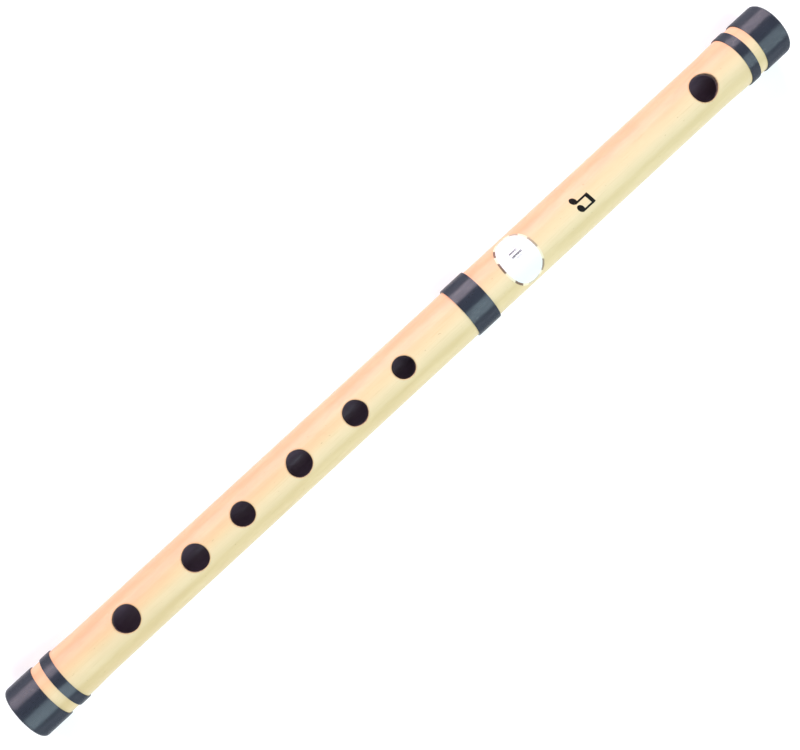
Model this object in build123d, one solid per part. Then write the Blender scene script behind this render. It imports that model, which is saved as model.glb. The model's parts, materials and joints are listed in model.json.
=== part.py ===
from build123d import *
import math
import os

# A side-blown bamboo flute with six finger holes, in millimetres.
# It lies along X with its blow-hole end, the head, at +X and its holes facing up, +Z.
# The origin is on the surface it lies on, under the middle of its length.

# ---- Bamboo tube ----
flute_length = 295.62
bore_diameter = 11.9
wall_thickness = 2.175       # in the long sanded middle
end_swell = 0.22             # extra radius left on the tube under the end bindings
swell_run = 8.5              # length over which the tube grows into that swell
swell_margin = 1.0           # bare swollen tube left past each inner binding
rim_rounding = 1.4           # rounding of the tube's ends, which the end bindings follow
bore_chamfer = 0.3

# ---- Blow hole and finger holes ----
head_to_blow_hole = 30.35    # from the head end to the middle of the blow hole
blow_hole_diameter = 8.56
blow_hole_lean = -1.5        # degrees off straight up, positive towards -Y
rim_easing = 0.25            # rounding of a hole's burnt outer edge

# Finger holes, from the head to the foot: the distance from the blow hole as a share of the
# speaking length, because a flute's scale is a set of ratios; the diameter; and the lean.
finger_holes = [
    (0.4531, 6.82, 3.3),
    (0.5247, 7.54, 4.9),
    (0.6051, 7.75, 2.8),
    (0.6854, 7.14, 0.6),
    (0.7532, 7.98, 0.6),
    (0.8491, 8.07, -3.7),
]

# ---- Thread bindings ----
end_thread_build = 0.43      # height of the lacquered thread over the tube, end bindings
inner_thread_build = 0.40
middle_thread_build = 0.54
binding_rounding = 0.3       # rounded shoulder where the last turn drops to the bamboo
foot_end_width = 9.93
foot_gap = 3.48              # bare bamboo between the end binding and the inner one
foot_inner_width = 3.44
head_end_width = 9.72
head_gap = 3.04
head_inner_width = 3.35
middle_width = 8.39
middle_binding_share = 0.3492    # place of the middle binding, as the finger holes' places

# ---- Cork stopper ----
cork_length = 12.0
cork_setback = 10.5          # from the middle of the blow hole to the cork's face
cork_clearance = 0.05        # in radius, between the cork and its seat
cork_chamfer = 0.5
seat_ream = 0.20             # radius by which the cork's seat is opened past the bore
seat_start = 1.3             # from the blow hole's edge to the start of the reamed seat

# ---- Paper label ----
label_length = 12.7          # along the flute
label_girth = 19.5           # round the flute
label_thickness = 0.10
label_share = 0.2799         # place of the label's middle, as the finger holes' places
label_outline_points = 9     # for each quarter of the oval

# ---- Worked out from the sizes above ----
foot_x = -flute_length / 2
head_x = flute_length / 2
blow_hole_x = head_x - head_to_blow_hole
speaking_length = flute_length - head_to_blow_hole
bore_radius = bore_diameter / 2
body_radius = bore_radius + wall_thickness
end_radius = body_radius + end_swell
axis_height = end_radius + end_thread_build
seat_radius = bore_radius + seat_ream
seat_x = blow_hole_x + blow_hole_diameter / 2 + seat_start
foot_swell_x = foot_x + foot_end_width + foot_gap + foot_inner_width + swell_margin
head_swell_x = head_x - head_end_width - head_gap - head_inner_width - swell_margin


def place_from_blow_hole(share):
    """X of a point that lies a share of the speaking length from the blow hole."""
    return blow_hole_x - share * speaking_length


def turned(section):
    """The solid of a section in X and radius, turned about the flute's axis at its height."""
    return Pos(0, 0, axis_height) * revolve(section, Axis.X)


def swell_curve(body_x, end_x):
    """S-shaped edge from the sanded body's radius to the ends' radius."""
    middle_x = (body_x + end_x) / 2
    return Bezier((body_x, body_radius), (middle_x, body_radius), (middle_x, end_radius), (end_x, end_radius))


def tube_blank():
    foot_body_x = foot_swell_x + swell_run
    head_body_x = head_swell_x - swell_run
    rounding_radius = end_radius - rim_rounding
    with BuildSketch(Plane.XZ) as section:
        with BuildLine():
            Line((foot_x, bore_radius + bore_chamfer), (foot_x, rounding_radius))
            CenterArc((foot_x + rim_rounding, rounding_radius), rim_rounding, 180, -90)
            Line((foot_x + rim_rounding, end_radius), (foot_swell_x, end_radius))
            swell_curve(foot_body_x, foot_swell_x)
            Line((foot_body_x, body_radius), (head_body_x, body_radius))
            swell_curve(head_body_x, head_swell_x)
            Line((head_swell_x, end_radius), (head_x - rim_rounding, end_radius))
            CenterArc((head_x - rim_rounding, rounding_radius), rim_rounding, 90, -90)
            Polyline(
                (head_x, rounding_radius),
                (head_x, seat_radius + bore_chamfer),
                (head_x - bore_chamfer, seat_radius),
                (seat_x, seat_radius),
                (seat_x, bore_radius),
                (foot_x + bore_chamfer, bore_radius),
                (foot_x, bore_radius + bore_chamfer),
            )
        make_face()
    return turned(section.sketch)


def hole_drill(x, diameter, lean):
    """A drill from the flute's axis out through the top wall only."""
    drill = Cylinder(diameter / 2, 2 * end_radius, align=(Align.CENTER, Align.CENTER, Align.MIN))
    return Pos(x, 0, axis_height) * Rot(X=lean) * drill


def is_hole_rim(edge):
    """Whether an edge is where a hole breaks out of the tube's outer skin."""
    start = edge @ 0
    quarter = edge @ 0.25
    radius = math.hypot(start.Y, start.Z - axis_height)
    return radius > body_radius - rim_easing and abs(quarter.X - start.X) > rim_easing and quarter.Z > axis_height


def bamboo_tube():
    tube = tube_blank() - hole_drill(blow_hole_x, blow_hole_diameter, blow_hole_lean)
    for share, diameter, lean in finger_holes:
        tube -= hole_drill(place_from_blow_hole(share), diameter, lean)
    rims = [edge for edge in tube.edges().filter_by(GeomType.BSPLINE) if is_hole_rim(edge)]
    return fillet(rims, rim_easing)


def end_binding(width):
    """Thread wound from the rounded foot rim inwards; the section follows the tube's rounding."""
    outer_radius = end_radius + end_thread_build
    with BuildSketch(Plane.XZ) as section:
        with BuildLine():
            Line((foot_x, end_radius - rim_rounding), (foot_x, outer_radius - rim_rounding))
            CenterArc((foot_x + rim_rounding, outer_radius - rim_rounding), rim_rounding, 180, -90)
            Line((foot_x + rim_rounding, outer_radius), (foot_x + width - binding_rounding, outer_radius))
            CenterArc((foot_x + width - binding_rounding, outer_radius - binding_rounding), binding_rounding, 90, -90)
            Polyline(
                (foot_x + width, outer_radius - binding_rounding),
                (foot_x + width, end_radius),
                (foot_x + rim_rounding, end_radius),
            )
            CenterArc((foot_x + rim_rounding, end_radius - rim_rounding), rim_rounding, 90, 90)
        make_face()
    return turned(section.sketch)


def ring_binding(middle_x, width, seat, build):
    """A band of thread on a straight stretch of tube, with both shoulders rounded."""
    low_x = middle_x - width / 2
    high_x = middle_x + width / 2
    outer_radius = seat + build
    with BuildSketch(Plane.XZ) as section:
        with BuildLine():
            Line((low_x, seat), (low_x, outer_radius - binding_rounding))
            CenterArc((low_x + binding_rounding, outer_radius - binding_rounding), binding_rounding, 180, -90)
            Line((low_x + binding_rounding, outer_radius), (high_x - binding_rounding, outer_radius))
            CenterArc((high_x - binding_rounding, outer_radius - binding_rounding), binding_rounding, 90, -90)
            Polyline((high_x, outer_radius - binding_rounding), (high_x, seat), (low_x, seat))
        make_face()
    return turned(section.sketch)


def foot_end_binding():
    return end_binding(foot_end_width)


def head_end_binding():
    return mirror(end_binding(head_end_width), about=Plane.YZ)


def foot_inner_binding():
    middle_x = foot_x + foot_end_width + foot_gap + foot_inner_width / 2
    return ring_binding(middle_x, foot_inner_width, end_radius, inner_thread_build)


def head_inner_binding():
    middle_x = head_x - head_end_width - head_gap - head_inner_width / 2
    return ring_binding(middle_x, head_inner_width, end_radius, inner_thread_build)


def middle_binding():
    return ring_binding(place_from_blow_hole(middle_binding_share), middle_width, body_radius, middle_thread_build)


def cork_stopper():
    cork = Cylinder(seat_radius - cork_clearance, cork_length, align=(Align.CENTER, Align.CENTER, Align.MIN))
    cork = chamfer(cork.edges().filter_by(GeomType.CIRCLE), cork_chamfer)
    return Pos(blow_hole_x + cork_setback, 0, axis_height) * Rot(Y=90) * cork


def label_outline_point(turn):
    """A point, seen from above, of an oval laid round the tube, at an angle round the oval."""
    wrap = label_girth / 2 * math.sin(turn) / body_radius
    return (label_length / 2 * math.cos(turn), body_radius * math.sin(wrap))


def paper_label():
    """A thin oval of the tube's own curve, cut out of a sleeve round the body."""
    count = 4 * label_outline_points
    outline = [label_outline_point(2 * math.pi * step / count) for step in range(count)]
    cutter = extrude(make_face(Spline(outline, periodic=True)), body_radius + label_thickness)
    sleeve = Cylinder(body_radius + label_thickness, label_length) - Cylinder(body_radius, label_length)
    label = cutter & (Rot(Y=90) * sleeve)
    return Pos(place_from_blow_hole(label_share), 0, axis_height) * label


sub_parts = {
    "bamboo_tube": bamboo_tube(),
    "foot_end_binding": foot_end_binding(),
    "foot_inner_binding": foot_inner_binding(),
    "middle_binding": middle_binding(),
    "head_inner_binding": head_inner_binding(),
    "head_end_binding": head_end_binding(),
    "cork_stopper": cork_stopper(),
    "paper_label": paper_label(),
}

os.makedirs("parts", exist_ok=True)
for node, solid in sub_parts.items():
    export_step(solid, f"parts/{node}.step")
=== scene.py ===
# %% [markdown]
# # A bamboo flute, finished by hand
#
# The object is a side-blown flute cut from one length of bamboo. Its holes are burnt with hot
# irons, its ends and middle are bound with thread that is then lacquered black, a cork closes the
# bore behind the blow hole, and a small paper label is stuck to the body.
#
# The measured design comes first. Every surface below is worked out from that frame.

import json
import math

import bmesh
import bpy
import numpy as np
from mathutils import Matrix, Vector


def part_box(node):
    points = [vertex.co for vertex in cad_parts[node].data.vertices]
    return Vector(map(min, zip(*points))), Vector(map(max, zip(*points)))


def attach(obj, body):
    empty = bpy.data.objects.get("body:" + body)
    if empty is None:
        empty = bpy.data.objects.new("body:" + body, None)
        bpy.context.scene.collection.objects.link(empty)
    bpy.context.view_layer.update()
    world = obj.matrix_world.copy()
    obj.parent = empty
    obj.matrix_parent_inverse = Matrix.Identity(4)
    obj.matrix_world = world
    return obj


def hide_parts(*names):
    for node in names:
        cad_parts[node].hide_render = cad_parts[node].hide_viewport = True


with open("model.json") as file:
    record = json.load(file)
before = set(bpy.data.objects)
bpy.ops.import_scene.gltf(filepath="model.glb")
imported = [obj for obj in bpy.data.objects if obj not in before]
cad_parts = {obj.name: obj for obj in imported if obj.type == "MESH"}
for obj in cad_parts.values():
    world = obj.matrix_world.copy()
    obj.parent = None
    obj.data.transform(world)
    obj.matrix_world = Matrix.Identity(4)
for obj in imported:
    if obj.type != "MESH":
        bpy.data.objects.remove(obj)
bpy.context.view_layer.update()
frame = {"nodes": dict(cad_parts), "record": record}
MM = 0.001
print("frame holds", sorted(frame["nodes"]))

# %% [markdown]
# ## Sizes read from the frame
#
# A turned object is easiest to think of as a distance `x` along its axis, an angle `turn` round
# it, and a radius. The angle is 0 straight up, where the holes are, and grows towards +Y. The
# frame's own points already say where the ends, the swellings and the cork's seat are, so they
# are measured and not typed in again.

# %% Ends, radii and the axis
tube_low, tube_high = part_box("bamboo_tube")
foot_x, head_x = tube_low.x, tube_high.x
axis_z = (tube_low.z + tube_high.z) / 2
end_radius = (tube_high.z - tube_low.z) / 2
record = frame["record"]
bore_radius = {mount["name"]: mount for mount in record["mounts"]}["foot_bore"]["dims"]["r_mm"] * MM


def cad_points(node):
    """A CAD node's vertices as rows of x, y and height above the flute's axis."""
    mesh = frame["nodes"][node].data
    points = np.zeros(3 * len(mesh.vertices))
    mesh.vertices.foreach_get("co", points)
    return points.reshape(-1, 3) - (0, 0, axis_z)


tube_points = cad_points("bamboo_tube")
tube_x = tube_points[:, 0]
tube_reach = np.hypot(tube_points[:, 1], tube_points[:, 2])
well_outside_bore = 1.2 * bore_radius
tolerance = 0.001 * MM  # for telling whether a point is on a given radius
is_skin = (tube_reach > well_outside_bore) & (tube_points[:, 2] < 0) & (np.abs(tube_x) < 0.9 * head_x)
body_radius = tube_reach[is_skin].min()
at_body = tube_x[is_skin & (tube_reach < body_radius + tolerance)]
at_end = tube_x[is_skin & (tube_reach > end_radius - tolerance)]
foot_body_x, head_body_x = at_body[at_body < 0].max(), at_body[at_body > 0].min()
foot_swell_x, head_swell_x = at_end[at_end < 0].max(), at_end[at_end > 0].min()
rim_rounding = head_x - tube_x[tube_reach > end_radius - tolerance].max()
past_bore = tube_reach - bore_radius
seat_x = tube_x[(past_bore > 0.1 * MM) & (past_bore < 0.3 * MM) & (tube_x > 0)].min()
seat_radius = tube_reach[(np.abs(tube_x - seat_x) < 10 * tolerance) & (tube_reach < well_outside_bore)].max()
bore_chamfer = 0.3 * MM
radii = body_radius, end_radius, bore_radius, seat_radius
swellings = foot_swell_x, foot_body_x, head_body_x, head_swell_x
print("body, end, bore and seat radius", [round(radius / MM, 3) for radius in radii])
print("swellings", [round(x / MM, 2) for x in swellings], "seat", round(seat_x / MM, 2))

# %% [markdown]
# ## The holes
#
# A maker burns the holes in by hand, so they lean a little to either side. The record lists each
# as an opening, which gives its place and lean, and the wall's own points give its radius.

# %% Places, leans and radii of the holes
wall_middle = (bore_radius + body_radius) / 2


def measure_hole(opening):
    """x, lean and radius of a hole: the lean is the arc sine of its sideways offset over the wall's radius,
    and the radius is the least distance of the upper wall's points from the leaning line."""
    low, high = (np.array(corner) for corner in opening["box_m"])
    x, side = (low[0] + high[0]) / 2, (low[1] + high[1]) / 2
    lean = math.asin(side / wall_middle)
    across = tube_points[:, 1] * math.cos(lean) - tube_points[:, 2] * math.sin(lean)
    height = tube_points[:, 1] * math.sin(lean) + tube_points[:, 2] * math.cos(lean)
    reach = np.hypot(tube_x - x, across)[height > 0]
    return x, lean, reach.min()


holes = [measure_hole(o) for o in record["physics"]["openings"] if o["name"] != "head_recess"]
holes.sort()
for x, lean, radius in holes:
    print("hole at", round(x / MM, 2), "leans", round(math.degrees(lean), 2), "radius", round(radius / MM, 3))

# %% [markdown]
# ## Colour management
#
# A filmic view greys out white paper and pale wood, so the scene is lit for the plain one.

# %% Plain view of colour
bpy.context.scene.view_settings.view_transform = "Standard"
print("view:", bpy.context.scene.view_settings.view_transform)

# %% [markdown]
# ## Shader sums as plain expressions
#
# A finish is a network of nodes. It could be wired up node by node, but it is easier to read as
# arithmetic, so `Wire` wraps one output and turns `a * b + 1` into Math nodes. `Finish` holds one
# material and adds any other node.

# %% Wires and finishes
class Wire:
    """One output of a node, which can be used in sums with numbers and other wires."""

    def __init__(self, finish, socket):
        self.finish, self.socket = finish, socket

    def maths(self, operation, *inputs):
        return self.finish.sum(operation, *inputs)

    def __add__(self, other):
        return self.maths("ADD", self, other)

    def __sub__(self, other):
        return self.maths("SUBTRACT", self, other)

    def __rsub__(self, other):
        return self.maths("SUBTRACT", other, self)

    def __mul__(self, other):
        return self.maths("MULTIPLY", self, other)

    def __truediv__(self, other):
        return self.maths("DIVIDE", self, other)

    def __pow__(self, other):
        return self.maths("POWER", self, other)

    __radd__, __rmul__ = __add__, __mul__


class Finish:
    """A material being put together, from the constants that are the same all over."""

    def __init__(self, name, **constants):
        self.material = bpy.data.materials.new(name)
        self.material.use_nodes = True
        self.tree = self.material.node_tree
        self.shader = self.tree.nodes["Principled BSDF"]
        for label, value in constants.items():
            self.shader.inputs[label.replace("_", " ")].default_value = value

    def add(self, kind, settings=None, inputs=None, output=0):
        """A wire from one output of a new node. Its settings are made before its inputs are joined."""
        node = self.tree.nodes.new(kind)
        for name, value in (settings or {}).items():
            setattr(node, name, value)
        for name, value in (inputs or {}).items():
            self.join(value, node.inputs[name])
        return Wire(self, node.outputs[output])

    def join(self, value, socket):
        """Link a wire to a socket, or set the socket to a plain value."""
        if isinstance(value, Wire):
            self.tree.links.new(value.socket, socket)
        else:
            socket.default_value = value

    def sum(self, operation, *inputs):
        """A Math node for what has no sign of its own, such as a sine."""
        return self.add("ShaderNodeMath", {"operation": operation}, dict(enumerate(inputs)))

    def drive(self, label, value):
        """Feed one of the shader's inputs from a wire."""
        self.join(value, self.shader.inputs[label])

    def place(self):
        """The piece's own coordinates, in metres."""
        return self.add("ShaderNodeTexCoord", output=3)

    def noise(self, scale, detail=2.0, roughness=0.5, place=None, offset=(0, 0, 0)):
        """Cloudy noise around 0.5. Its coarsest lumps are one over the scale long on each axis."""
        inputs = {"Vector": place or self.place(), "Location": offset, "Scale": scale}
        vector = self.add("ShaderNodeMapping", {}, inputs)
        inputs = {"Vector": vector, "Scale": 1.0, "Detail": detail, "Roughness": roughness}
        return self.add("ShaderNodeTexNoise", {}, inputs)

    def attribute(self, name):
        """A number that the mesh holds for each of its points."""
        return self.add("ShaderNodeAttribute", {"attribute_name": name}, output=2)

    def step(self, value, low, high):
        """0 below low, 1 above high, and a smooth rise between them. With low over high it falls instead."""
        settings = {"interpolation_type": "SMOOTHSTEP"}
        inputs = {"Value": value, "From Min": min(low, high), "From Max": max(low, high)}
        rise = self.add("ShaderNodeMapRange", settings, inputs)
        return 1 - rise if low > high else rise

    def mix(self, share, under, over, blend="MIX"):
        """Colour under with colour over laid on it, by a share from 0 to 1."""
        under, over = [colour if isinstance(colour, Wire) else (*colour, 1.0) for colour in (under, over)]
        settings = {"data_type": "RGBA", "blend_type": blend}
        return self.add("ShaderNodeMix", settings, {0: share, 6: under, 7: over}, output=2)

    def bump(self, height, depth):
        """Small relief: a height from 0 to 1, that many metres deep."""
        return self.add("ShaderNodeBump", {}, {"Height": height, "Distance": depth, "Strength": 1.0})


print("shader helpers ready")

# %% [markdown]
# ## Surfaces from arrays
#
# The pieces could be pushed about by hand or with modifiers, but they are all turned or bent
# shapes with a short formula, so each is a grid of points worked out as whole arrays. `grid_faces`
# joins a grid into quads, and `make_piece` hangs the finished mesh on the body that it moves with.

# %% Mesh helpers
def grid_faces(numbers, wrap_rows=False, wrap_columns=False):
    """Quads of a grid of point numbers: each cell takes its corner, the next in its row, and the two beside
    them in the next row. A wrapped direction joins the last line to the first."""
    if wrap_rows:
        numbers = np.vstack([numbers, numbers[:1]])
    if wrap_columns:
        numbers = np.hstack([numbers, numbers[:, :1]])
    corners = numbers[:-1, :-1], numbers[:-1, 1:], numbers[1:, 1:], numbers[1:, :-1]
    return np.stack([corner.ravel() for corner in corners], axis=1)


def around(x, turn, radius):
    """Points at a distance x along the axis, an angle round it and a radius: y is the radius times the
    angle's sine, and z is the axis's height plus the radius times its cosine."""
    x, turn, radius = np.broadcast_arrays(x, turn, radius)
    return np.stack([x, radius * np.sin(turn), axis_z + radius * np.cos(turn)], axis=-1)


def make_piece(name, points, faces, finish, body,
               replaced=(), sharp=40, values=None, uv=None, caps=()):
    """A mesh object from points and quads, with its faces turned outwards. Edges over the sharp angle, in
    degrees, stay crisp. values are named numbers for each point, uv gives each point its map coordinates,
    and caps are rings of point numbers that each close an end with one face."""
    mesh = bpy.data.meshes.new(name)
    mesh.from_pydata(np.asarray(points).reshape(-1, 3), [], faces.tolist() + [ring.tolist() for ring in caps])
    for label, numbers in (values or {}).items():
        attribute = mesh.attributes.new(label, "FLOAT", "POINT")
        attribute.data.foreach_set("value", np.asarray(numbers, np.float32).ravel())
    if uv is not None:
        corners = np.zeros(len(mesh.loops), np.int32)
        mesh.loops.foreach_get("vertex_index", corners)
        layer = mesh.uv_layers.new(name="UVMap")
        layer.data.foreach_set("uv", np.asarray(uv).reshape(-1, 2)[corners].ravel())
    shell = bmesh.new()
    shell.from_mesh(mesh)
    bmesh.ops.recalc_face_normals(shell, faces=shell.faces)
    shell.to_mesh(mesh)
    shell.free()
    mesh.shade_smooth()
    mesh.set_sharp_from_angle(angle=math.radians(sharp))
    mesh.materials.append(finish.material)
    piece = bpy.data.objects.new(name, mesh)
    bpy.context.scene.collection.objects.link(piece)
    if body:
        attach(piece, body)
    if replaced:
        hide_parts(*replaced)
    print(name, len(mesh.vertices), "points,", len(mesh.polygons), "faces")
    return piece


print("mesh helpers ready")

# %% [markdown]
# ## The bamboo's finish
#
# Bamboo is a bundle of fibres in a pale ground. Streaks could be drawn on a map of the skin, but
# a map has a seam and stops at the cut ends. One solid pattern stretched along X does for the
# whole piece: it shows as fine streaks on the skin and as dots where the tube is cut across.
#
# Light and shade are painted into the cane's colour by side: straw on the -Y side is painted
# shade with a cool tint, honey is the colour on top, and a warm peach on the +Y side is painted
# warm light, broken up a little by noise. It is also a shade darker towards the foot. The skin is
# sanded and rubbed with lacquer, so it is satin. Two numbers on the mesh say how far a point is
# from a burnt hole and how far inside the tube it is. They char the holes' walls, darker deeper in
# as painted shade, and darken the oiled bore as painted shade too.

# %% Bamboo, lacquered and burnt
PALING = 100.0 * MM  # the cane pales over this distance to each side of its middle
# The straw colour is painted shade on the -Y side, and the peach is painted warm light on the +Y side.
STRAW_PAINTED_SHADE, HONEY, PEACH_PAINTED_LIGHT = (0.685, 0.515, 0.266), (0.79, 0.608, 0.36), (0.765, 0.368, 0.195)
FOOT_SHADE, HEAD_SHADE = (0.935, 0.885, 0.83), (1.0, 1.0, 1.0)
PALE_BAND, FIBRE = (0.8, 0.61, 0.35), (0.62, 0.43, 0.2)
HAIR, SPECK = (0.52, 0.32, 0.14), (0.42, 0.25, 0.11)
# The deep char is char darkened further by painted shade, deeper in each hole.
SCORCHED, CHAR, DEEP_CHAR_AND_SHADE = (0.5, 0.27, 0.1), (0.2, 0.125, 0.11), (0.06, 0.042, 0.052)
# The oiled bore's colours are darkened as painted shade.
OILED_AND_SHADED, OILED_AND_SHADED_DARK = (0.4, 0.3, 0.38), (0.31, 0.225, 0.3)


def bamboo_finish():
    """Ground with painted side light and shade, bands, fibres and specks, then the holes' scorched edges
    and charred walls, darker deeper in as painted shade, and the oiled bore, darkened as painted shade."""
    satin = {"Specular_IOR_Level": 0.35, "Coat_Weight": 0.25, "Coat_Roughness": 0.18, "Coat_IOR": 1.5}
    f = Finish("lacquered_bamboo", **satin)
    place = f.place()
    along = f.add("ShaderNodeSeparateXYZ", {}, {0: place})
    side = f.add("ShaderNodeSeparateXYZ", {}, {0: place}, output=1) / body_radius
    broad = f.noise((18, 95, 95), 3.0, 0.55, place)
    band = f.noise((55, 260, 260), 3.0, 0.6, place, (3, 1, 2))
    fibre = f.noise((60, 2600, 2600), 3.0, 0.55, place, (7, 4, 1))
    hair = f.noise((110, 5200, 5200), 2.0, 0.6, place, (2, 9, 5))
    speck = f.noise((900, 1500, 1500), 1.0, 0.5, place, (5, 5, 5))
    # Painted light and shade by side: straw as shade on the -Y side, peach as warm light on the +Y side.
    painted_light_side = side + (broad - 0.5) * 0.5
    colour = f.mix(f.step(painted_light_side, -0.75, -0.05), STRAW_PAINTED_SHADE, HONEY)
    shade = f.mix(f.step(along, -PALING, PALING), FOOT_SHADE, HEAD_SHADE)
    colour = f.mix(1.0, colour, shade, blend="MULTIPLY")
    colour = f.mix(f.step(painted_light_side, -0.15, 0.7), colour, PEACH_PAINTED_LIGHT)
    colour = f.mix(f.step(band, 0.35, 0.75) * 0.3, colour, PALE_BAND)
    colour = f.mix(f.step(fibre, 0.52, 0.8) * 0.34, colour, FIBRE)
    colour = f.mix(f.step(hair, 0.6, 0.8) * 0.24, colour, HAIR)
    colour = f.mix(f.step(speck, 0.735, 0.8) * 0.4, colour, SPECK)
    inside = f.attribute("inside")
    burn = f.attribute("burn")
    ragged = burn + (f.noise((1400, 1400, 1400), 3.0, 0.6, place, (1, 2, 3)) - 0.5) * 0.22
    colour = f.mix(f.step(ragged, 0.6, 0.05) * 0.5, colour, SCORCHED)
    # Deeper in a hole the char darkens further as painted shade.
    char_and_shade = f.mix(f.step(inside, 0.0, 0.2), CHAR, DEEP_CHAR_AND_SHADE)
    colour = f.mix(f.step(ragged, 0.1, -0.02) * 0.95, colour, char_and_shade)
    # The bore's oiled colour is darkened as painted shade.
    oil_and_shade = f.mix(f.step(band, 0.3, 0.7), OILED_AND_SHADED, OILED_AND_SHADED_DARK)
    colour = f.mix(f.step(inside, 0.55, 1.0), colour, oil_and_shade)
    f.drive("Base Color", colour)
    f.drive("Roughness", 0.36 + fibre * 0.10 + f.step(ragged, 0.35, 0.05) * 0.2)
    f.drive("Normal", f.bump(fibre * 0.6 + hair * 0.4, 0.012 * MM))
    return f


bamboo = bamboo_finish()
print("bamboo finish has", len(bamboo.tree.nodes), "nodes")

# %% [markdown]
# ## The tube
#
# The skin is a profile turned round the axis: straight along the body, an S-shaped swelling to
# each end, and a rounded rim. Bamboo is never quite round. A noise would do for that, but a few
# slow sine waves keep the skin smooth enough to shine, and are easy to fade out at the bindings.

# %% The tube's radius along its length
CALM_RUN = 6.0 * MM  # over which the wave comes back beside the middle binding


def skin_radius(x, turn):
    """Body radius, plus the swelling's S-curve at each end, plus a slow wave that fades out near bindings.
    The S-curve is 3t squared minus 2t cubed, where t is the share of the swelling passed."""
    toward_foot = np.clip((foot_body_x - x) / (foot_body_x - foot_swell_x), 0, 1)
    toward_head = np.clip((x - head_body_x) / (head_swell_x - head_body_x), 0, 1)
    t = np.maximum(toward_foot, toward_head)
    swelling = (end_radius - body_radius) * t * t * (3 - 2 * t)
    wave = 0.030 * np.cos(2 * turn + 0.6) + 0.016 * np.sin(3 * turn + 34 * x) + 0.012 * np.sin(turn + 61 * x)
    calm = np.clip((np.abs(x - middle_binding_x) - 0.5 * middle_width) / CALM_RUN, 0, 1)
    return body_radius + swelling + wave * MM * (1 - t) ** 2 * calm * calm * (3 - 2 * calm)


middle_low, middle_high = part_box("middle_binding")
middle_binding_x = (middle_low.x + middle_high.x) / 2
middle_width = middle_high.x - middle_low.x
print("skin radius at the middle", skin_radius(0.0, 0.0) / MM)

# %% [markdown]
# A Boolean cut would leave long thin faces round each hole, which show as creases in the gloss.
# Instead, a rectangle of cells is left out round each hole. What fills it is a second grid that
# starts on the rectangle's border, closes in on the hole's round rim, rolls over the burnt edge,
# runs down through the wall, and opens out again to the bore's grid.

# %% Grid lines of the tube
COLUMNS = 128
HOLE_COLUMNS = 19  # each side of a hole's middle
HOLE_ROWS = 26
HOLE_MARGIN = 1.7 * MM  # from a hole's rim to the end of its patch
END_ROWS = 16  # on each straight stretch under the end bindings
SWELL_SPACING = 0.6 * MM
BODY_SPACING = 2.0 * MM
column_turn = 2 * np.pi * np.arange(COLUMNS) / COLUMNS


def rows_between(start, end, spacing):
    """Evenly spaced places from start to end, both left out."""
    count = max(int(round((end - start) / spacing)), 1)
    return np.linspace(start, end, count + 1)[1:-1]


patches = [(x - radius - HOLE_MARGIN, x + radius + HOLE_MARGIN) for x, lean, radius in holes]
long_rows = [np.linspace(foot_x + rim_rounding, foot_swell_x, END_ROWS)]
long_rows += [rows_between(foot_swell_x, foot_body_x, SWELL_SPACING), [foot_body_x]]
reached = foot_body_x
for low, high in patches:
    long_rows += [rows_between(reached, low, BODY_SPACING), np.linspace(low, high, HOLE_ROWS + 1)]
    reached = high
long_rows += [rows_between(reached, head_swell_x, SWELL_SPACING)]
long_rows += [np.linspace(head_swell_x, head_x - rim_rounding, END_ROWS)]
long_rows = np.concatenate(long_rows)
patch_ends = np.array(patches).ravel()
patch_leans = np.repeat([lean for x, lean, radius in holes], 2)
print(len(long_rows), "rows along the skin")

# %% [markdown]
# The closed outline runs foot rim, skin, head rim, head face, cork seat, bore, foot face, and
# each of its rows is turned round the axis. The columns are counted from the line of the holes,
# which leans from hole to hole, so that every hole sits in the middle of its rectangle.

# %% The tube's closed outline
rim_angles = np.linspace(0, np.pi / 2, 9)
rim_inset = rim_rounding * (1 - np.sin(rim_angles))
rim_radii = end_radius - rim_rounding * (1 - np.cos(rim_angles))
head_face_radii = np.linspace(end_radius - rim_rounding, seat_radius + bore_chamfer, 5)[1:]
foot_face_radii = np.linspace(bore_radius + bore_chamfer, end_radius - rim_rounding, 6)[:-1]
bore_rows = long_rows[::-1]
clear_of_head = bore_rows < head_x - 1.5 * bore_chamfer
clear_of_foot = bore_rows > foot_x + 1.5 * bore_chamfer
past_seat = bore_rows[(bore_rows > seat_x) & clear_of_head]
in_bore = bore_rows[(bore_rows < seat_x) & clear_of_foot]
seat_stops = np.concatenate([[head_x - bore_chamfer], past_seat, [seat_x]])
bore_stops = np.concatenate([[seat_x], in_bore, [foot_x + bore_chamfer]])


def profile_rows(x, radius):
    """Rows of x and radius, where either may be one number for them all."""
    return np.stack(np.broadcast_arrays(x, radius), axis=1)


foot_rim_rows = profile_rows(foot_x + rim_inset, rim_radii)[:0:-1]
skin_rows = profile_rows(long_rows, body_radius)
head_rim_rows = profile_rows(head_x - rim_inset, rim_radii)[1:]
head_face_rows = profile_rows(head_x, head_face_radii)
seat_rows = profile_rows(seat_stops, seat_radius)
bore_line = profile_rows(bore_stops, bore_radius)
foot_face_rows = profile_rows(foot_x, foot_face_radii)
blocks = [foot_rim_rows, skin_rows, head_rim_rows, head_face_rows, seat_rows, bore_line, foot_face_rows]
outline = np.concatenate(blocks)
starts = np.cumsum([0] + [len(block) for block in blocks])
outline_lean = np.interp(outline[:, 0], patch_ends, patch_leans)
turn_grid = outline_lean[:, None] + column_turn[None, :]
radius_grid = np.repeat(outline[:, 1:], COLUMNS, axis=1)
skin = slice(starts[1], starts[2])
radius_grid[skin] = skin_radius(outline[skin, :1], turn_grid[skin])
tube_grid = around(outline[:, :1], turn_grid, radius_grid)
tube_numbers = np.arange(tube_grid.shape[0] * COLUMNS).reshape(-1, COLUMNS)
inside_grid = np.zeros(tube_numbers.shape)
inside_grid[starts[4]:starts[6]] = 1.0
print("outline has", len(outline), "rows")

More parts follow.
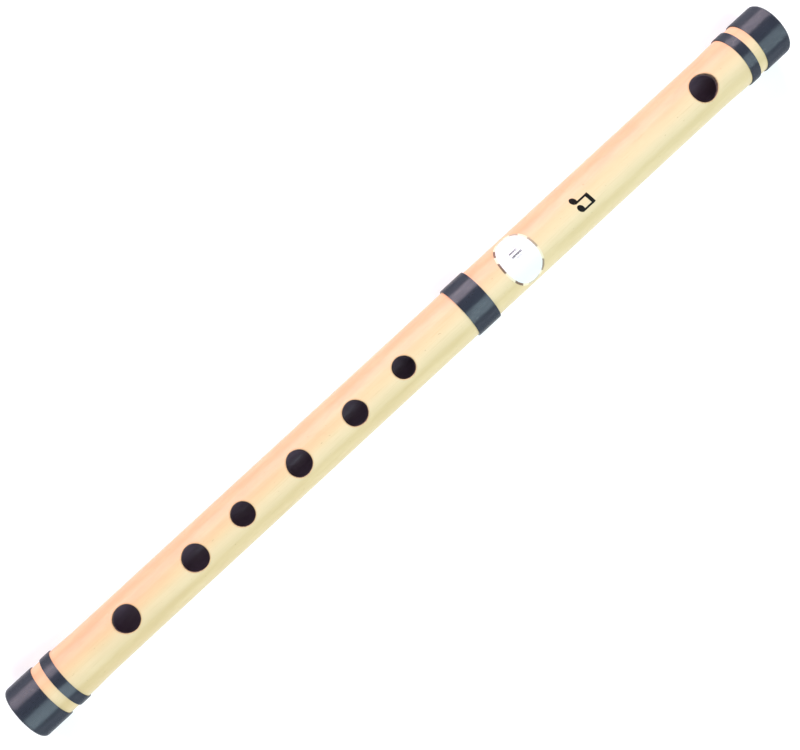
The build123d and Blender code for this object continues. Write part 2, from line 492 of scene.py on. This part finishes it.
# %% [markdown]
# Seen along its own drill, a hole is a circle and the tube's skin is a height: the square root of
# the skin's radius squared minus the sideways distance squared. The irons leave each circle
# uneven in its own way.

# %% One patch for each hole
EASING = 0.25 * MM  # rounding of the burnt outer edge
INNER_EASING = 0.12 * MM
LOBES = np.array([2, 3, 5])
LOBE_SIZES = np.array([0.050, 0.024, 0.014]) * MM
SCORCH_WAVE = 0.004  # of the hole's radius
SKIN_STEPS, EDGE_STEPS, WALL_STEPS, INNER_EDGE_STEPS, BORE_STEPS = 9, 4, 6, 2, 6
random = np.random.default_rng(7)


def uneven_circle(angle, radius):
    """The hole's radius plus three small cosine waves round it, of two, three and five lobes."""
    size = random.normal(0, 1, 3) * LOBE_SIZES
    phase = random.uniform(0, 2 * np.pi, 3)
    return radius + (size * np.cos(np.outer(angle, LOBES) + phase)).sum(1)


def shares(count):
    """That many even steps from just past 0 up to 1."""
    return np.linspace(0, 1, count + 1)[1:]


def patch_rows(low, high):
    """Row numbers of a patch in the outline: its first on the skin, and both its ends in the bore."""
    outer_first = starts[1] + np.argmin(np.abs(long_rows - low))
    inner_ends = starts[5] + np.array([np.argmin(np.abs(bore_line[:, 0] - end)) for end in (low, high)])
    return outer_first, inner_ends


def border_numbers(first_row, last_row):
    """Point numbers once round the rectangle that was left out, starting at its foot side."""
    columns = np.arange(-HOLE_COLUMNS, HOLE_COLUMNS + 1) % COLUMNS
    rows = np.linspace(first_row, last_row, HOLE_ROWS + 1).round().astype(int)
    sides = [
        tube_numbers[rows[:-1], columns[0]],
        tube_numbers[rows[-1], columns[:-1]],
        tube_numbers[rows[:0:-1], columns[-1]],
        tube_numbers[rows[0], columns[:0:-1]],
    ]
    return np.concatenate(sides)


def hole_patch(x, lean, radius, low, high, next_number):
    """Rows of points from the skin's border through the hole to the bore's, worked out along the drill and
    then turned by the lean; their burn and inside values; and the patch's point numbers."""
    outer_first, inner_ends = patch_rows(low, high)
    outer_border = border_numbers(outer_first, outer_first + HOLE_ROWS)
    inner_border = border_numbers(*inner_ends)
    flat = tube_grid.reshape(-1, 3)

    def flattened(numbers):
        """Border points seen along the drill: the distances from it along x and sideways."""
        along, side, up = (flat[numbers] - (x, 0, axis_z)).T
        return along, side * math.cos(lean) - up * math.sin(lean)

    outer_along, outer_side = flattened(outer_border)
    inner_along, inner_side = flattened(inner_border)
    angle = np.arctan2(outer_side / np.abs(outer_side).max(), outer_along / np.abs(outer_along).max())
    rim = uneven_circle(angle, radius)

    def skin_height(along, side):
        turn = lean + np.arcsin(np.clip(side / body_radius, -1, 1))
        return np.sqrt(np.maximum(skin_radius(x + along, turn) ** 2 - side ** 2, 0))

    def bore_height(side):
        return np.sqrt(np.maximum(bore_radius ** 2 - side ** 2, 0))

    rows, burns, insides = [], [], []

    def add_row(along, side, height, burn, inside):
        rows.append(np.stack([along, side, height], axis=1))
        burns.append(np.broadcast_to(burn, along.shape))
        insides.append(np.broadcast_to(inside, along.shape))

    cosine, sine = np.cos(angle), np.sin(angle)
    reach = rim + EASING
    for share in shares(SKIN_STEPS):
        along = outer_along * (1 - share) + reach * cosine * share
        side = outer_side * (1 - share) + reach * sine * share
        add_row(along, side, skin_height(along, side), (np.hypot(along, side) - rim) / MM, 0.0)
    for roll in shares(EDGE_STEPS) * np.pi / 2:
        reach = rim + EASING * (1 - np.sin(roll))
        along, side = reach * cosine, reach * sine
        add_row(along, side, skin_height(along, side) - EASING * (1 - np.cos(roll)), (reach - rim) / MM, 0.0)
    along, side = rim * cosine, rim * sine
    top, bottom = skin_height(along, side) - EASING, bore_height(side) + INNER_EASING
    for share in shares(WALL_STEPS):
        scorch = 1 + SCORCH_WAVE * np.sin(9 * angle + 7 * share) * np.sin(np.pi * share)
        add_row(along * scorch, side * scorch, top * (1 - share) + bottom * share, 0.0, share * share)
    for roll in shares(INNER_EDGE_STEPS) * np.pi / 2:
        reach = rim + INNER_EASING * (1 - np.cos(roll))
        along, side = reach * cosine, reach * sine
        add_row(along, side, bore_height(side) + INNER_EASING * (1 - np.sin(roll)), 0.0, 1.0)
    for share in shares(BORE_STEPS)[:-1]:
        along = reach * cosine * (1 - share) + inner_along * share
        side = reach * sine * (1 - share) + inner_side * share
        add_row(along, side, bore_height(side), 0.5, 1.0)
    rows, burns, insides = np.array(rows), np.array(burns), np.array(insides)
    along, side, up = rows[..., 0], rows[..., 1], rows[..., 2]
    points = np.stack([
        x + along,
        side * math.cos(lean) + up * math.sin(lean),
        axis_z - side * math.sin(lean) + up * math.cos(lean),
    ], axis=-1)
    numbers = next_number + np.arange(rows.shape[0] * rows.shape[1]).reshape(rows.shape[:2])
    return points, burns, insides, np.vstack([outer_border, numbers, inner_border])


# %% [markdown]
# The patches' cells are left out of the plain grid, on the skin and in the bore, and everything
# is joined into one closed shell.

# %% The finished tube
FAR_FROM_BURNT = 5.0  # millimetres, on every point that isn't in a patch
keep = np.ones(tube_numbers.shape, bool)
patch_columns = np.arange(-HOLE_COLUMNS, HOLE_COLUMNS) % COLUMNS
tube_parts = [tube_grid.reshape(-1, 3)]
burn_parts = [np.full(tube_numbers.size, FAR_FROM_BURNT)]
inside_parts = [inside_grid.ravel()]
patch_faces = []
next_number = tube_numbers.size
for (x, lean, radius), (low, high) in zip(holes, patches):
    points, burns, insides, numbers = hole_patch(x, lean, radius, low, high, next_number)
    tube_parts.append(points.reshape(-1, 3))
    burn_parts.append(burns.ravel())
    inside_parts.append(insides.ravel())
    patch_faces.append(grid_faces(numbers, wrap_columns=True))
    next_number += burns.size
    outer_first, inner_ends = patch_rows(low, high)
    keep[np.ix_(np.arange(outer_first, outer_first + HOLE_ROWS), patch_columns)] = False
    keep[np.ix_(np.arange(inner_ends.min(), inner_ends.max()), patch_columns)] = False
tube_faces = np.vstack([grid_faces(tube_numbers, True, True)[keep.ravel()], *patch_faces])
make_piece(
    "bamboo_tube_body", np.vstack(tube_parts), tube_faces, bamboo, "flute", ["bamboo_tube"],
    values={"burn": np.concatenate(burn_parts), "inside": np.concatenate(inside_parts)},
)

# %% [markdown]
# ## The wound thread
#
# Each black band is one nylon thread, wound tight and then lacquered until the turns nearly melt
# together. A smooth ring with a bump would look like tape, so each band here is a real helix of
# thread. At the flute's ends it also runs over the rounded rim.
#
# The lacquer is almost black and very slightly blue, with a twist of fibres that still shows
# faintly through it. Its gloss is a coat of uneven weight, which is thinner where a band turns
# away from the eye, because the grooves between the turns hide it there.

# %% Black lacquer over thread
BLUE_BLACK, BLUE_BLACK_THIN = (0.0205, 0.026, 0.041), (0.0245, 0.0305, 0.0475)
# The groove colour is painted shade between the turns of thread.
GROOVE_SHADE, SCUFFED = (0.008, 0.008, 0.011), (0.06, 0.06, 0.07)


def lacquer_finish():
    """Black lacquer with painted shade in the grooves, scuffed crests and a cloudy coat that fades edge-on.
    """
    f = Finish("lacquered_thread", Specular_IOR_Level=0.12, Coat_Roughness=0.21, Coat_IOR=1.7)
    along = f.attribute("along")
    across = f.attribute("across")
    place = f.place()
    twist = f.sum("SINE", along * 11.0 + across * 2.2)
    patch = f.noise((140, 420, 420), 3.0, 0.6, place)
    groove = across * across
    colour = f.mix(f.step(patch, 0.35, 0.7), BLUE_BLACK, BLUE_BLACK_THIN)
    # Painted shade darkens the grooves between turns.
    colour = f.mix(groove * groove * 0.5, colour, GROOVE_SHADE)
    rubbed = f.noise((2300, 2300, 2300), 2.0, 0.6, place, (4, 4, 1))
    scuff = f.step(rubbed, 0.66, 0.8) * (1 - groove)
    colour = f.mix(scuff * 0.3, colour, SCUFFED)
    f.drive("Base Color", colour)
    f.drive("Roughness", 0.20 + patch * 0.10 + scuff * 0.15)
    edge_on = f.add("ShaderNodeLayerWeight", {}, {"Blend": 0.5}, output=1)
    cloudy = f.noise((520, 900, 900), 3.0, 0.6, place, (8, 3, 6))
    f.drive("Coat Weight", f.step(edge_on, 0.5, 0.14) * (0.55 + cloudy * 0.9))
    f.drive("Normal", f.bump(twist * 0.5 + 0.5, 0.006 * MM))
    return f


lacquer = lacquer_finish()
print("lacquer finish has", len(lacquer.tree.nodes), "nodes")

# %% [markdown]
# A plain helix would leave each band's edges slanted. A binder keeps every turn square across the
# flute and steps over to the next one underneath. The thread's section is a low arch with a flat
# foot on the bamboo. Its height wanders by about a hundredth of a millimetre, as a hand-wound
# thread does, and this is what breaks up the long reflections.

# %% Winding a thread
THREAD_PITCH = 0.34 * MM
TURN_STEPS = 96
CROWN_POINTS = 9
CROWN = 0.050 * MM  # drop of the arch from its middle to its sides
SHOULDER = 0.050 * MM  # further drop of the last points, which makes the groove
HALF_WIDTH = 0.515  # of a pitch, so that neighbouring turns just meet
FOOT_SHARE = 0.85  # of the section's half width
SUNK = 0.050 * MM  # how far the foot reaches below the bamboo's skin
HEIGHT_WANDER = 0.007 * MM
EDGE_DROP = 0.045 * MM  # how much lower the outermost turn lies
TUCK_TURNS = 0.06  # length of the tapered tail at each end
TAIL_HEIGHT = 0.12  # of the full height, at the tail's tip
JOG_START = 0.80  # share of a turn that lies square across the flute
THREAD_CREASE = 55  # degrees


def binding_node(name):
    """The binding in the frame that a thread stands for."""
    return name.replace("thread", "binding")


def band_path(s, inner_x, direction, straight, crest, rounding):
    """The outline that the thread's crest follows: x, radius and tilt at a distance s from the band's inner
    edge. It is straight at the crest's radius, then an arc of that rounding turns it towards the axis."""
    tilt = np.maximum(s - straight, 0) / max(rounding, MM)
    x = inner_x + direction * (np.minimum(s, straight) + rounding * np.sin(tilt))
    return x, crest - rounding * (1 - np.cos(tilt)), tilt


def wound_thread(name, inner_x, direction, straight, crest, seat, rounding=0.0, over_rim=0.0, seed=1):
    """A closed tube of thread. The angle grows steadily. The distance along the path stays level for most of
    a turn, and then grows by one pitch in an S-curve. Each ring of points is the path's point, plus a
    sideways step along the path, minus a depth along its normal."""
    length = straight + rounding * over_rim
    turns = round(length / THREAD_PITCH)
    pitch = length / turns
    turn = np.arange(turns * TURN_STEPS + 1) / TURN_STEPS
    jog = np.clip((turn % 1 - JOG_START) / (1 - JOG_START), 0, 1)
    s = pitch * np.minimum(np.floor(turn) + jog * jog * (3 - 2 * jog) + 0.5, turns - 0.5)
    x, radius, tilt = band_path(s, inner_x, direction, straight, crest, rounding)
    wander = np.random.default_rng(seed).normal(0, HEIGHT_WANDER, 4 * turns + 8)
    radius = radius + np.interp(4 * turn, np.arange(len(wander)), wander)
    edge = np.minimum(s, length - s) if rounding == 0 else s
    radius = radius - EDGE_DROP * np.clip(1 - edge / pitch, 0, 1)
    share = np.linspace(-1, 1, CROWN_POINTS)
    across = np.concatenate([share, [FOOT_SHARE, -FOOT_SHARE]])
    step = across * pitch * HALF_WIDTH
    arch = np.concatenate([CROWN * share ** 2 + SHOULDER * np.abs(share) ** 9, [0, 0]])
    rise = np.clip(np.minimum(turn, turns - turn) / TUCK_TURNS, TAIL_HEIGHT, 1)[:, None]
    tilt = tilt[:, None]
    foot_depth = (crest - seat) * np.cos(tilt) + SUNK
    depth = foot_depth - (foot_depth - arch) * rise
    depth[:, CROWN_POINTS:] = foot_depth
    ring_x = x[:, None] + direction * (step * np.cos(tilt) - depth * np.sin(tilt))
    ring_radius = radius[:, None] - step * np.sin(tilt) - depth * np.cos(tilt)
    angle = np.pi + direction * 2 * np.pi * turn[:, None]
    points = around(ring_x, angle, ring_radius)
    numbers = np.arange(ring_x.size).reshape(ring_x.shape)
    along = np.broadcast_to(2 * np.pi * crest / MM * turn[:, None], numbers.shape)
    values = {"along": along, "across": np.broadcast_to(across, numbers.shape)}
    print(name, "has", turns, "turns")
    make_piece(
        name, points, grid_faces(numbers, wrap_columns=True), lacquer, "flute", [binding_node(name)],
        THREAD_CREASE, values, caps=numbers[[0, -1]],
    )


print("a turn every", THREAD_PITCH / MM, "mm")

# %% [markdown]
# The two narrow bands and the middle one lie on straight tube. The two end bands start at their
# inner edge and end on the rim, a little short of the end face.

# %% Five bands
OVER_RIM = math.radians(80)


def ring_thread(name, seat, seed):
    """A band on straight tube, wound towards the head."""
    low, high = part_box(binding_node(name))
    wound_thread(name, low.x, 1, high.x - low.x, high.z - axis_z, seat, seed=seed)


def end_thread(name, direction, seed):
    """A band wound outwards and over the rim."""
    low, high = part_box(binding_node(name))
    inner_x, outer_x = (low.x, high.x) if direction > 0 else (high.x, low.x)
    straight, crest = abs(outer_x - inner_x) - rim_rounding, high.z - axis_z
    wound_thread(name, inner_x, direction, straight, crest, end_radius, rim_rounding, OVER_RIM, seed)


end_thread("foot_end_thread", -1, 11)
ring_thread("foot_inner_thread", end_radius, 12)
ring_thread("middle_thread", body_radius, 13)
ring_thread("head_inner_thread", end_radius, 14)
end_thread("head_end_thread", 1, 15)

# %% [markdown]
# ## The paper label
#
# The label is an oval of thin coated paper. Its print could be an image, but a few dashes and rows
# are sharper as sums. The paper's map coordinates are millimetres on the flat sheet, so they are
# drawn in real sizes: a pale gold border with eight dark dashes, and a few rows of grey marks. The
# two faint dashes on the oval's sides are painted shadow along the label's edges as well as print.

# %% Printed paper
# Each dash has its middle and its half length, in degrees round the oval, and its strength.
# The faint dashes at 94 and 268 degrees lie on the label's side edges and are painted edge shadow as well as
# print.
LABEL_DASHES = [
    (7, 12, 0.65), (51, 11, 0.6), (94, 14, 0.3), (137, 9, 1.0),
    (172, 11, 1.0), (218, 11, 1.0), (268, 20, 0.3), (315, 14, 0.8),
]
# Each row has its place round the tube, half its height, its two ends along the tube and its strength.
LABEL_ROWS = [
    (3.60, 0.18, -1.2, 1.6, 0.35), (2.75, 0.32, -1.75, 1.25, 0.9),
    (1.47, 0.36, -1.7, 2.0, 1.0), (0.55, 0.18, -0.6, 1.7, 0.4),
]
BORDER_START = 0.90  # of the way from the middle to the edge
DASH_BLUR = 1.5  # degrees
WHITE_PAPER, GREY_PAPER = (0.83, 0.8, 0.8), (0.79, 0.76, 0.77)
GOLD_BORDER, DASH_BROWN, MARK_BLACK = (0.8, 0.68, 0.47), (0.185, 0.105, 0.065), (0.035, 0.035, 0.04)


def paper_finish(half_length, half_girth):
    """Reach is the root of the sum of squares of each distance over its half size, so it is 1 at the edge.
    The border is where reach is high, the dashes are angles within it, and the rows are rectangles."""
    f = Finish("label_paper", IOR=1.46)
    sheet = f.add("ShaderNodeUVMap", {"uv_map": "UVMap"})
    along, across = [f.add("ShaderNodeSeparateXYZ", {}, {0: sheet}, output=axis) for axis in (0, 1)]
    reach = f.sum("SQRT", (along / half_length) ** 2 + (across / half_girth) ** 2)
    angle = f.sum("ARCTAN2", across / half_girth, along / half_length)
    ragged = (f.noise((2.2, 2.2, 2.2), 2.0, 0.5, sheet) - 0.5) * 0.035
    border = f.step(reach + ragged, BORDER_START - 0.005, BORDER_START + 0.005)
    dashes = 0.0
    for middle, half, strength in LABEL_DASHES:
        off = f.sum("ABSOLUTE", f.sum("WRAP", angle - math.radians(middle), math.pi, -math.pi))
        there = f.step(off, math.radians(half + DASH_BLUR), math.radians(half - DASH_BLUR))
        dashes = there * strength + dashes
    rows = 0.0
    for row, height, start, end, strength in LABEL_ROWS:
        there = f.step(f.sum("ABSOLUTE", across - row), height, 0.6 * height)
        there = there * f.step(along, start, start + 0.1) * f.step(along, end, end - 0.1)
        rows = there * strength + rows
    strokes = f.noise((4.4, 1.3, 1.0), 2.0, 0.7, sheet, (0, 3, 0))
    rows = rows * f.step(strokes, 0.4, 0.5)
    fibres = f.noise((2.0, 9.0, 1.0), 4.0, 0.65, sheet)
    colour = f.mix(f.step(fibres, 0.35, 0.75), WHITE_PAPER, GREY_PAPER)
    colour = f.mix(border, colour, GOLD_BORDER)
    colour = f.mix(border * dashes, colour, DASH_BROWN)
    colour = f.mix(rows, colour, MARK_BLACK)
    f.drive("Base Color", colour)
    f.drive("Roughness", 0.42 + fibres * 0.15)
    f.drive("Normal", f.bump(fibres, 0.008 * MM))
    return f


print(len(LABEL_DASHES), "dashes and", len(LABEL_ROWS), "rows of marks")

# %% [markdown]
# A round grid would pinch the gloss in its middle. A square grid squeezed into an oval keeps its
# cells even, so one such grid makes the front, another the back, and a short wall joins them.

# %% The bent oval
LABEL_CELLS = 56
LABEL_THICKNESS = 0.10 * MM
LABEL_EDGE_DROP = 0.03 * MM
BACK_SUNK = 0.01 * MM


def oval_grid(half_length, half_girth, cells):
    """Flat points of an oval from a square grid: each side's place, from -1 to 1, times the square root of
    one less half the other's square."""
    u, v = np.meshgrid(np.linspace(-1, 1, cells + 1), np.linspace(-1, 1, cells + 1), indexing="ij")
    return half_length * u * np.sqrt(1 - v * v / 2), half_girth * v * np.sqrt(1 - u * u / 2)


def bent_sheet(name, middle_x, along, across, proud, finish, replaced, slot, edge_drop=0.0):
    """A thin closed sheet laid on the skin. Its angle is the distance across the flat sheet over the body's
    radius. The front stands proud of the skin, less a drop at its edge, and the back is just sunk in it."""
    turn = across / body_radius
    lift = np.full(along.shape, proud)
    lift[[0, -1], :] -= edge_drop
    lift[1:-1, [0, -1]] -= edge_drop
    front = around(middle_x + along, turn, skin_radius(middle_x + along, turn) + lift)
    back = around(middle_x + along, turn, skin_radius(middle_x + along, turn) - BACK_SUNK)
    count = along.size
    numbers = np.arange(count).reshape(along.shape)
    rim = np.concatenate([numbers[:-1, 0], numbers[-1, :-1], numbers[:0:-1, -1], numbers[0, :0:-1]])
    wall = grid_faces(np.stack([rim, rim + count]), wrap_columns=True)
    faces = np.vstack([grid_faces(numbers), grid_faces(numbers + count), wall])
    flat = np.stack([along, across], axis=-1).reshape(-1, 2) / MM
    points = np.concatenate([front.reshape(-1, 3), back.reshape(-1, 3)])
    make_piece(name, points, faces, finish, "flute", replaced, uv=np.tile(flat, (2, 1)))


label_low, label_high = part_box("paper_label")
label_x = (label_low.x + label_high.x) / 2
label_half_length = (label_high.x - label_low.x) / 2
label_half_girth = body_radius * math.acos((label_low.z - axis_z) / body_radius)
paper = paper_finish(label_half_length / MM, label_half_girth / MM)
bent_sheet(
    "oval_label", label_x, *oval_grid(label_half_length, label_half_girth, LABEL_CELLS),
    LABEL_THICKNESS, paper, ["paper_label"], "label_paper", LABEL_EDGE_DROP,
)
print("label is", round(2 * label_half_length / MM, 2), "by", round(2 * label_half_girth / MM, 2), "mm")

# %% [markdown]
# ## The ink mark
#
# A maker inks a small sign on the tube between the label and the blow hole. Here it is a pair of
# joined musical notes, upright when the head end is up: two heads, two stems and a beam. They
# could be drawn in the bamboo's finish, but real ink lies on top. So each is a grid bent round the
# tube like the label, and a few hundredths of a millimetre thick.

# %% Joined notes in black ink
BLACK_INK, WORN_INK = (0.005, 0.004, 0.003), (0.014, 0.011, 0.01)
MARK_FROM_LABEL = 24.80 * MM
HEAD_LENGTH, HEAD_WIDTH, HEAD_SLANT = 1.30 * MM, 0.92 * MM, math.radians(24)
STEM_WIDTH, BEAM_WIDTH = 0.62 * MM, 1.15 * MM
STEM_OFFSET = 0.98 * MM  # from a head's middle to its stem
INK_HEIGHT, INK_LAYER = 0.020 * MM, 0.003 * MM


def ink_finish():
    """Flat black ink with a fine grain."""
    f = Finish("black_ink", Specular_IOR_Level=0.15)
    grain = f.noise((2600, 2600, 2600), 3.0, 0.6)
    f.drive("Base Color", f.mix(f.step(grain, 0.45, 0.75), BLACK_INK, WORN_INK))
    f.drive("Roughness", 0.50 + grain * 0.25)
    f.drive("Normal", f.bump(grain, 0.006 * MM))
    return f


def stroke(start, end, width, rows=24, columns=6):
    """A straight bar between two flat points: the start plus t times the run, plus a side from minus to plus
    half the width, along the run's normal."""
    t, side = np.meshgrid(np.linspace(0, 1, rows + 1), np.linspace(-0.5, 0.5, columns + 1), indexing="ij")
    start, end = np.array(start), np.array(end)
    run = end - start
    normal = np.array([-run[1], run[0]]) / np.hypot(*run)
    return start[0] + run[0] * t + normal[0] * side * width, start[1] + run[1] * t + normal[1] * side * width


def note_head(middle, half_length, half_width, slant, cells=16):
    """An oval on the flat sheet, turned by a quarter circle plus the slant."""
    long_way, short_way = oval_grid(half_length, half_width, cells)
    along = middle[0] + long_way * math.sin(slant) + short_way * math.cos(slant)
    across = middle[1] - long_way * math.cos(slant) + short_way * math.sin(slant)
    return along, across


# Each note has the flat place of its head's middle, and how far along the tube its stem reaches.
NOTES = {
    "left": ((-2.15 * MM, 1.65 * MM), 2.30 * MM),
    "right": ((-1.75 * MM, -1.45 * MM), 2.70 * MM),
}
BEAM_ENDS = (2.00 * MM, 0.98 * MM), (2.50 * MM, -2.74 * MM)
ink = ink_finish()
note_parts = {}
for name, (middle, top) in NOTES.items():
    stem_side = middle[1] - STEM_OFFSET
    note_parts[f"ink_{name}_head"] = note_head(middle, HEAD_LENGTH, HEAD_WIDTH, HEAD_SLANT)
    note_parts[f"ink_{name}_stem"] = stroke((middle[0], stem_side), (top, stem_side), STEM_WIDTH)
note_parts["ink_beam"] = stroke(*BEAM_ENDS, BEAM_WIDTH)
for layer, (name, (along, across)) in enumerate(note_parts.items()):
    proud = INK_HEIGHT + layer * INK_LAYER
    bent_sheet(name, label_x + MARK_FROM_LABEL, along, across, proud, ink, [], "binding_thread")

# %% [markdown]
# ## The cork
#
# The cork stopper can only be seen down the blow hole and from the head end. It is a profile
# turned round the axis: two flat faces, two eased corners and a wall. Cork is full of pits. A bump
# alone would leave its edge perfectly round, so the surface is also pushed in a little.

# %% Cork stopper
CORK_BROWN, CORK_DARK = (0.56, 0.35, 0.18), (0.43, 0.25, 0.12)
CORK_PALE, CORK_PORE = (0.66, 0.45, 0.26), (0.13, 0.065, 0.035)
CORK_COLUMNS = 96
CORK_EASING = 0.5 * MM
FACE_RINGS, EASING_RINGS, WALL_RINGS = 18, 6, 38
MIDDLE_CELL = 0.03  # of the cork's radius
DENT = 0.020 * MM


def cork_finish():
    """Brown ground, paler grains and sunken dark pores."""
    f = Finish("cork", IOR=1.4)
    place = f.place()
    body = f.noise((420, 420, 420), 4.0, 0.6, place)
    grain = f.noise((1500, 1500, 1500), 3.0, 0.65, place, (3, 3, 3))
    pores = f.noise((340, 900, 900), 2.0, 0.6, place, (6, 2, 5))
    colour = f.mix(f.step(body, 0.35, 0.68), CORK_BROWN, CORK_DARK)
    colour = f.mix(f.step(grain, 0.45, 0.7) * 0.5, colour, CORK_PALE)
    pitted = f.step(pores, 0.62, 0.7)
    colour = f.mix(pitted * 0.85, colour, CORK_PORE)
    f.drive("Base Color", colour)
    f.drive("Roughness", 0.72 + grain * 0.2)
    f.drive("Normal", f.bump(grain * 0.4 - pitted, 0.06 * MM))
    return f


def cork_shape(low_x, high_x, radius, easing):
    """Points and point numbers of the turned profile. The surface is pushed in, along the axis on the faces
    and towards it elsewhere, by the dent's depth times one plus half a sum of waves round and along it."""
    bend = np.linspace(0, np.pi / 2, EASING_RINGS)
    face = np.linspace(MIDDLE_CELL * radius, radius - easing, FACE_RINGS)
    corner_x, corner_radius = easing * (1 - np.sin(bend)), radius - easing * (1 - np.cos(bend))
    low_half = profile_rows(low_x, face), profile_rows(low_x + corner_x, corner_radius)[-2::-1]
    wall = profile_rows(np.linspace(low_x + easing, high_x - easing, WALL_RINGS + 2)[1:-1], radius)
    high_half = profile_rows(high_x - corner_x, corner_radius)[:-1], profile_rows(high_x, face[::-1])
    rows = np.concatenate([*low_half, wall, *high_half])
    x, r = rows[:, :1], rows[:, 1:]
    turn = 2 * np.pi * np.arange(CORK_COLUMNS)[None, :] / CORK_COLUMNS
    waves = np.sin(7 * turn + 900 * x + 2000 * r) * np.sin(3 * turn - 1500 * x) + np.sin(13 * turn + 2600 * x)
    dent = DENT * (1 + 0.5 * waves).clip(0, 2)
    from_middle = x - (low_x + high_x) / 2
    on_face = (r < radius - 0.5 * easing) & (np.abs(from_middle) > (high_x - low_x) / 2 - easing)
    along = np.where(on_face, np.sign(from_middle) * dent, 0)
    points = around(x - along, turn, r - np.where(on_face, 0, dent))
    return points, np.arange(points.shape[0] * CORK_COLUMNS).reshape(-1, CORK_COLUMNS)


cork_low, cork_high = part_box("cork_stopper")
cork_points, cork_numbers = cork_shape(cork_low.x, cork_high.x, cork_high.z - axis_z, CORK_EASING)
make_piece(
    "cork_plug", cork_points, grid_faces(cork_numbers, wrap_columns=True), cork_finish(),
    "cork", ["cork_stopper"], caps=cork_numbers[[0, -1]],
)

# %% [markdown]
# ## The camera
#
# The flute is seen from above, running from the lower left to the upper right, with the holes
# facing the camera. An aim constraint would leave the horizon level, so the camera's three axes
# are worked out here instead: first the way it looks, then its right and up, turned by the roll.

# %% Camera
SENSOR_WIDTH = 36.0  # millimetres
LENS = 65.06
CAMERA_DISTANCE = 420.0 * MM  # from the flute's axis
LOOK_X = -4.41 * MM  # the point of the axis that the camera looks at
LOOK_Y = -1.30 * MM
PITCH = math.radians(4.58)  # how far the head end is tipped away
ROLL = math.radians(42.70)  # how far the flute climbs across the frame


def add_camera():
    """The camera looks along (sin pitch, 0, -cos pitch). Its own right and up are the flute's direction in
    the frame and +Y, turned by the roll."""
    along = Vector((math.cos(PITCH), 0, math.sin(PITCH)))
    forward = Vector((math.sin(PITCH), 0, -math.cos(PITCH)))
    across = Vector((0, 1, 0))
    right = along * math.cos(ROLL) - across * math.sin(ROLL)
    up = along * math.sin(ROLL) + across * math.cos(ROLL)
    data = bpy.data.cameras.new("camera")
    data.lens, data.sensor_width = LENS, SENSOR_WIDTH
    data.clip_start = 10 * MM
    camera = bpy.data.objects.new("camera", data)
    bpy.context.scene.collection.objects.link(camera)
    place = Vector((LOOK_X, LOOK_Y, axis_z)) - forward * CAMERA_DISTANCE
    turned = Matrix((right, up, -forward)).transposed().to_4x4()
    camera.matrix_world = Matrix.Translation(place) @ turned
    bpy.context.scene.camera = camera
    return camera


camera = add_camera()
print("camera at", [round(v / MM, 1) for v in camera.location], "mm")

# %% [markdown]
# ## The studio
#
# A pale floor, a grey surround, and two long soft lights beside the flute. Small lamps would
# leave hard dots on the lacquer, but long ones give a streak along each side of a black band. The
# one on the +Y side is a little pinker and the other a little bluer. The floor glows faintly, so
# that these tints don't show in the soft shadows.

# %% Floor, surround and lights
FLOOR_REACH = 1.6  # metres to each side
PALE_GREY, PALE_GREY_DARK = (0.63, 0.62, 0.62), (0.6, 0.59, 0.59)
HORIZON_HEIGHT, OVERHEAD_HEIGHT = 0.02, 0.55
HORIZON_GREY, OVERHEAD_GREY = 0.45, 0.24
LIGHT_DISTANCE = 0.75  # metres from the flute's axis
PINKISH, BLUISH = (1.0, 0.85, 0.97), (0.72, 0.93, 1.01)


def pale_floor():
    """A square sheet with a barely cloudy tone."""
    f = Finish("pale_floor", Roughness=0.9, Emission_Color=(1.0, 1.0, 1.0, 1.0), Emission_Strength=0.50)
    soft = f.noise((9, 9, 9), 2.0)
    f.drive("Base Color", f.mix(soft * 0.25, PALE_GREY, PALE_GREY_DARK))
    corners = np.array([(-1, -1, 0), (1, -1, 0), (1, 1, 0), (-1, 1, 0)]) * FLOOR_REACH
    floor = make_piece("floor", corners, np.array([[0, 1, 2, 3]]), f, None)


def surround():
    """A grey surround that brightens towards the horizon. Its value eases from the horizon's to the overhead
    one while the direction's height, the sine of its angle over the floor, goes between their heights."""
    world = bpy.data.worlds.new("surround")
    world.use_nodes = True
    nodes, links = world.node_tree.nodes, world.node_tree.links
    direction = nodes.new("ShaderNodeTexCoord")
    height = nodes.new("ShaderNodeSeparateXYZ")
    ramp = nodes.new("ShaderNodeValToRGB")
    links.new(direction.outputs["Generated"], height.inputs[0])
    links.new(height.outputs["Z"], ramp.inputs["Fac"])
    links.new(ramp.outputs["Color"], nodes["Background"].inputs["Color"])
    ramp.color_ramp.interpolation = "EASE"
    stops = (HORIZON_HEIGHT, HORIZON_GREY), (OVERHEAD_HEIGHT, OVERHEAD_GREY)
    for element, (place, grey) in zip(ramp.color_ramp.elements, stops):
        element.position, element.color = place, (grey, grey, grey, 1.0)
    bpy.context.scene.world = world


def long_light(name, angle, middle_x, length, width, colour, radiance):
    """A long rectangular light beside the flute and facing it, at an angle from straight up towards +Y, in
    degrees. Its power is pi times its radiance times its area."""
    data = bpy.data.lights.new(name, "AREA")
    data.shape, data.size, data.size_y = "RECTANGLE", length, width
    data.color = colour
    data.energy = radiance * math.pi * length * width
    light = bpy.data.objects.new(name, data)
    bpy.context.scene.collection.objects.link(light)
    a = math.radians(angle)
    light.location = (middle_x, LIGHT_DISTANCE * math.sin(a), axis_z + LIGHT_DISTANCE * math.cos(a))
    light.rotation_euler = (-a, 0, 0)


pale_floor()
surround()
long_light("warm_light", 60, middle_x=0.08, length=0.78, width=0.62, colour=PINKISH, radiance=5.3)
long_light("cool_light", -41, middle_x=-0.08, length=1.04, width=0.73, colour=BLUISH, radiance=3.4)
print("studio ready")

# %% [markdown]

# %% Finish
print("all pieces made")
